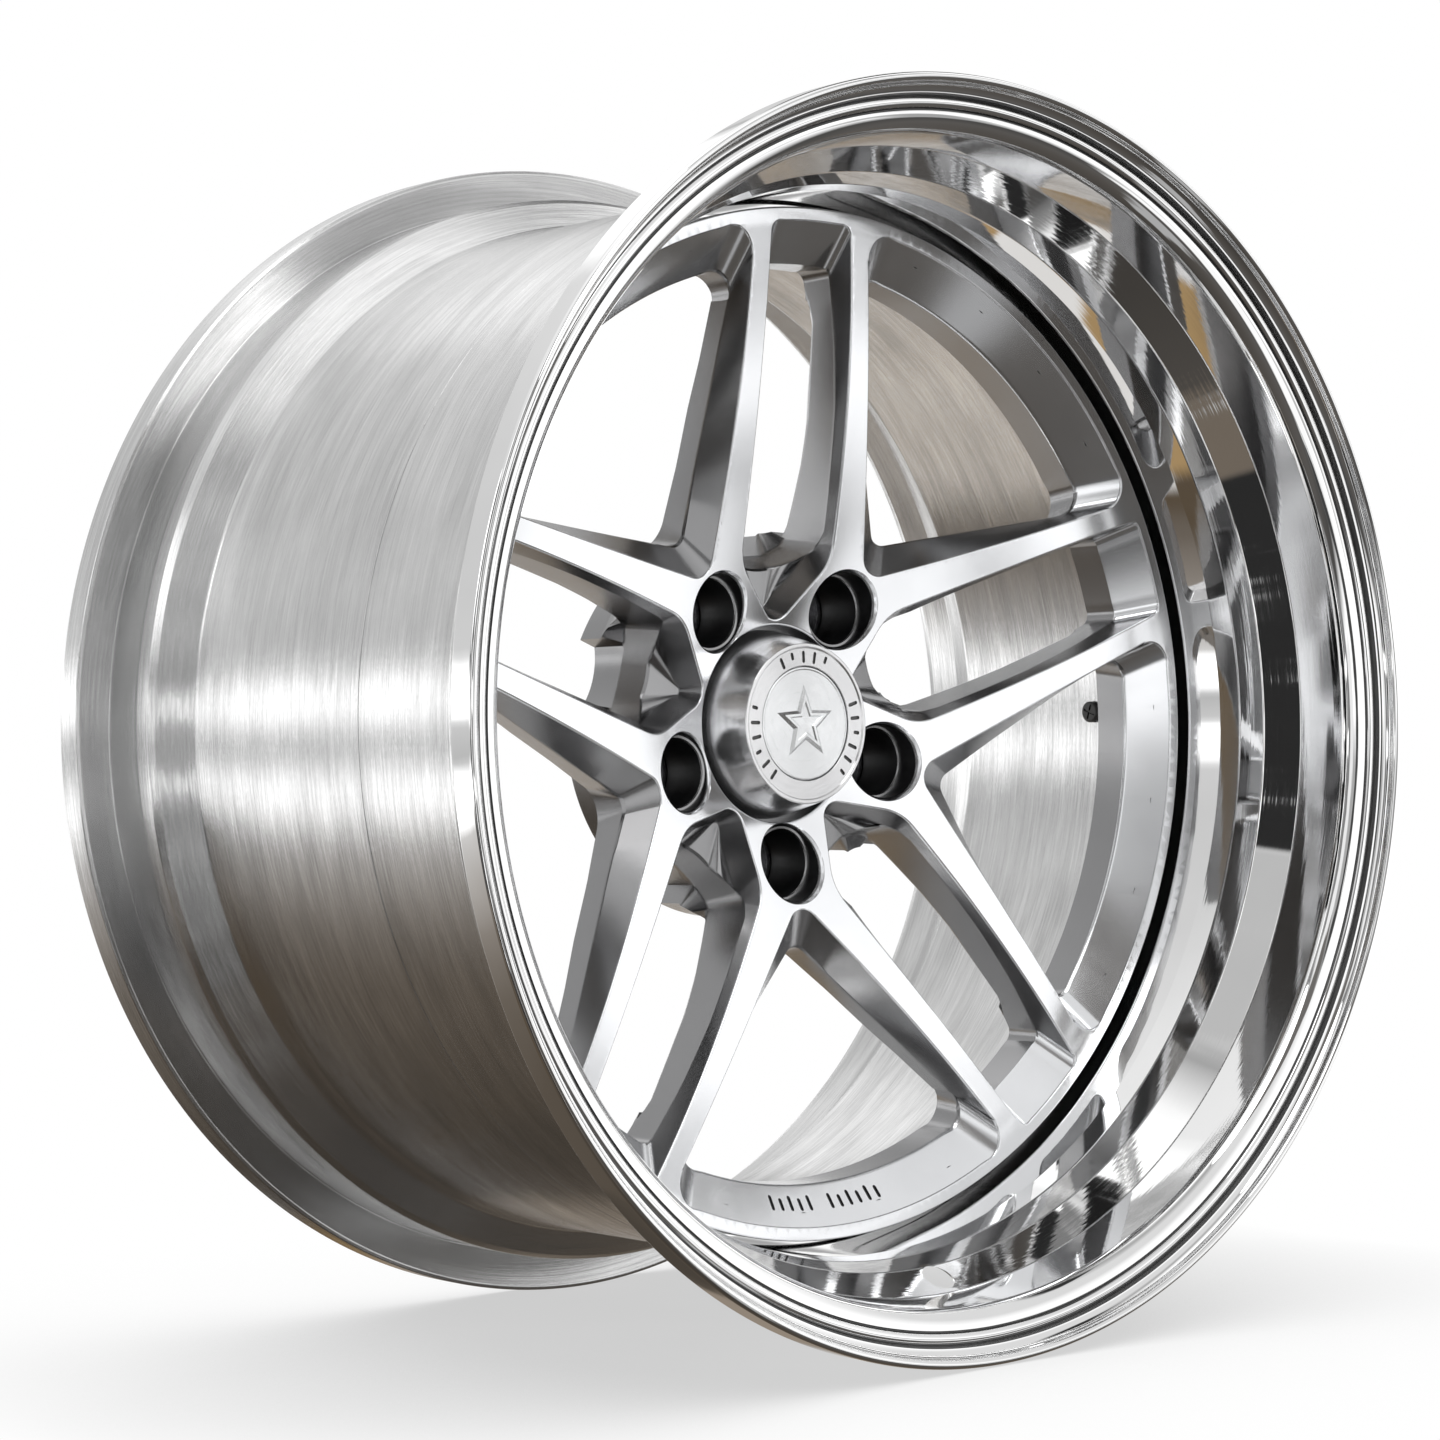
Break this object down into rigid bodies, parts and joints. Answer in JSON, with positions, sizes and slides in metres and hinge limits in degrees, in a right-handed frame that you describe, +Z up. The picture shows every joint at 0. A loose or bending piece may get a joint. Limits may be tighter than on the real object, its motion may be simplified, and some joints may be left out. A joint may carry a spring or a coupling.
{
  "type": "racing wheel rim",
  "caption": "Split forged racing wheel rim with paired-spoke centre, deep stepped polished lip, brushed barrel, lug seats, bolted flanges and a lift-off centre cap.",
  "frame": {"origin": "on the spin axis, half-way through the rim's width", "axes": "+Y along the spin axis towards the car, so the show face looks along -Y; +Z up; +X to the right seen from the front"},
  "size_m": [0.4922, 0.2778, 0.4922],
  "materials": {
    "polished_lip": "mirror polished aluminium",
    "brushed_barrel": "brushed round the axis",
    "forged_centre": "satin faces with polished edges",
    "bolt_steel": "zinc plated",
    "seat_steel": "dark satin",
    "black_plug": "matt",
    "rubber": "matt",
    "cap_metal": "turned and polished",
    "badge_metal": "radially brushed"
  },
  "bodies": {
    "wheel": {"outer_lip": "polished_lip", "inner_barrel": "brushed_barrel", "wheel_centre": "forged_centre", "barrel_seal": "rubber", "assembly_bolt_01": "bolt_steel", "assembly_bolt_02": "bolt_steel", "assembly_bolt_03": "bolt_steel", "assembly_bolt_04": "bolt_steel", "assembly_bolt_05": "bolt_steel", "assembly_bolt_06": "bolt_steel", "assembly_bolt_07": "bolt_steel", "assembly_bolt_08": "bolt_steel", "assembly_bolt_09": "bolt_steel", "assembly_bolt_10": "bolt_steel", "assembly_bolt_11": "bolt_steel", "assembly_bolt_12": "bolt_steel", "assembly_bolt_13": "bolt_steel", "assembly_bolt_14": "bolt_steel", "assembly_bolt_15": "bolt_steel", "assembly_bolt_16": "bolt_steel", "assembly_bolt_17": "bolt_steel", "assembly_bolt_18": "bolt_steel", "assembly_bolt_19": "bolt_steel", "assembly_bolt_20": "bolt_steel", "assembly_bolt_21": "bolt_steel", "assembly_bolt_22": "bolt_steel", "assembly_bolt_23": "bolt_steel", "assembly_bolt_24": "bolt_steel", "assembly_bolt_25": "bolt_steel", "assembly_bolt_26": "bolt_steel", "assembly_bolt_27": "bolt_steel", "assembly_bolt_28": "bolt_steel", "assembly_bolt_29": "bolt_steel", "assembly_bolt_30": "bolt_steel", "lug_seat_1": "seat_steel", "lug_seat_2": "seat_steel", "lug_seat_3": "seat_steel", "lug_seat_4": "seat_steel", "lug_seat_5": "seat_steel", "barrel_plug": "black_plug"},
    "cap": {"centre_cap": "cap_metal", "cap_emblem": "badge_metal", "cap_oring": "rubber"}
  },
  "joints": [
    {"name": "cap_slide", "type": "slide", "parent": "wheel", "child": "cap", "axis": [0, -1, 0], "range_m": [0, 0.18]}
  ]
}
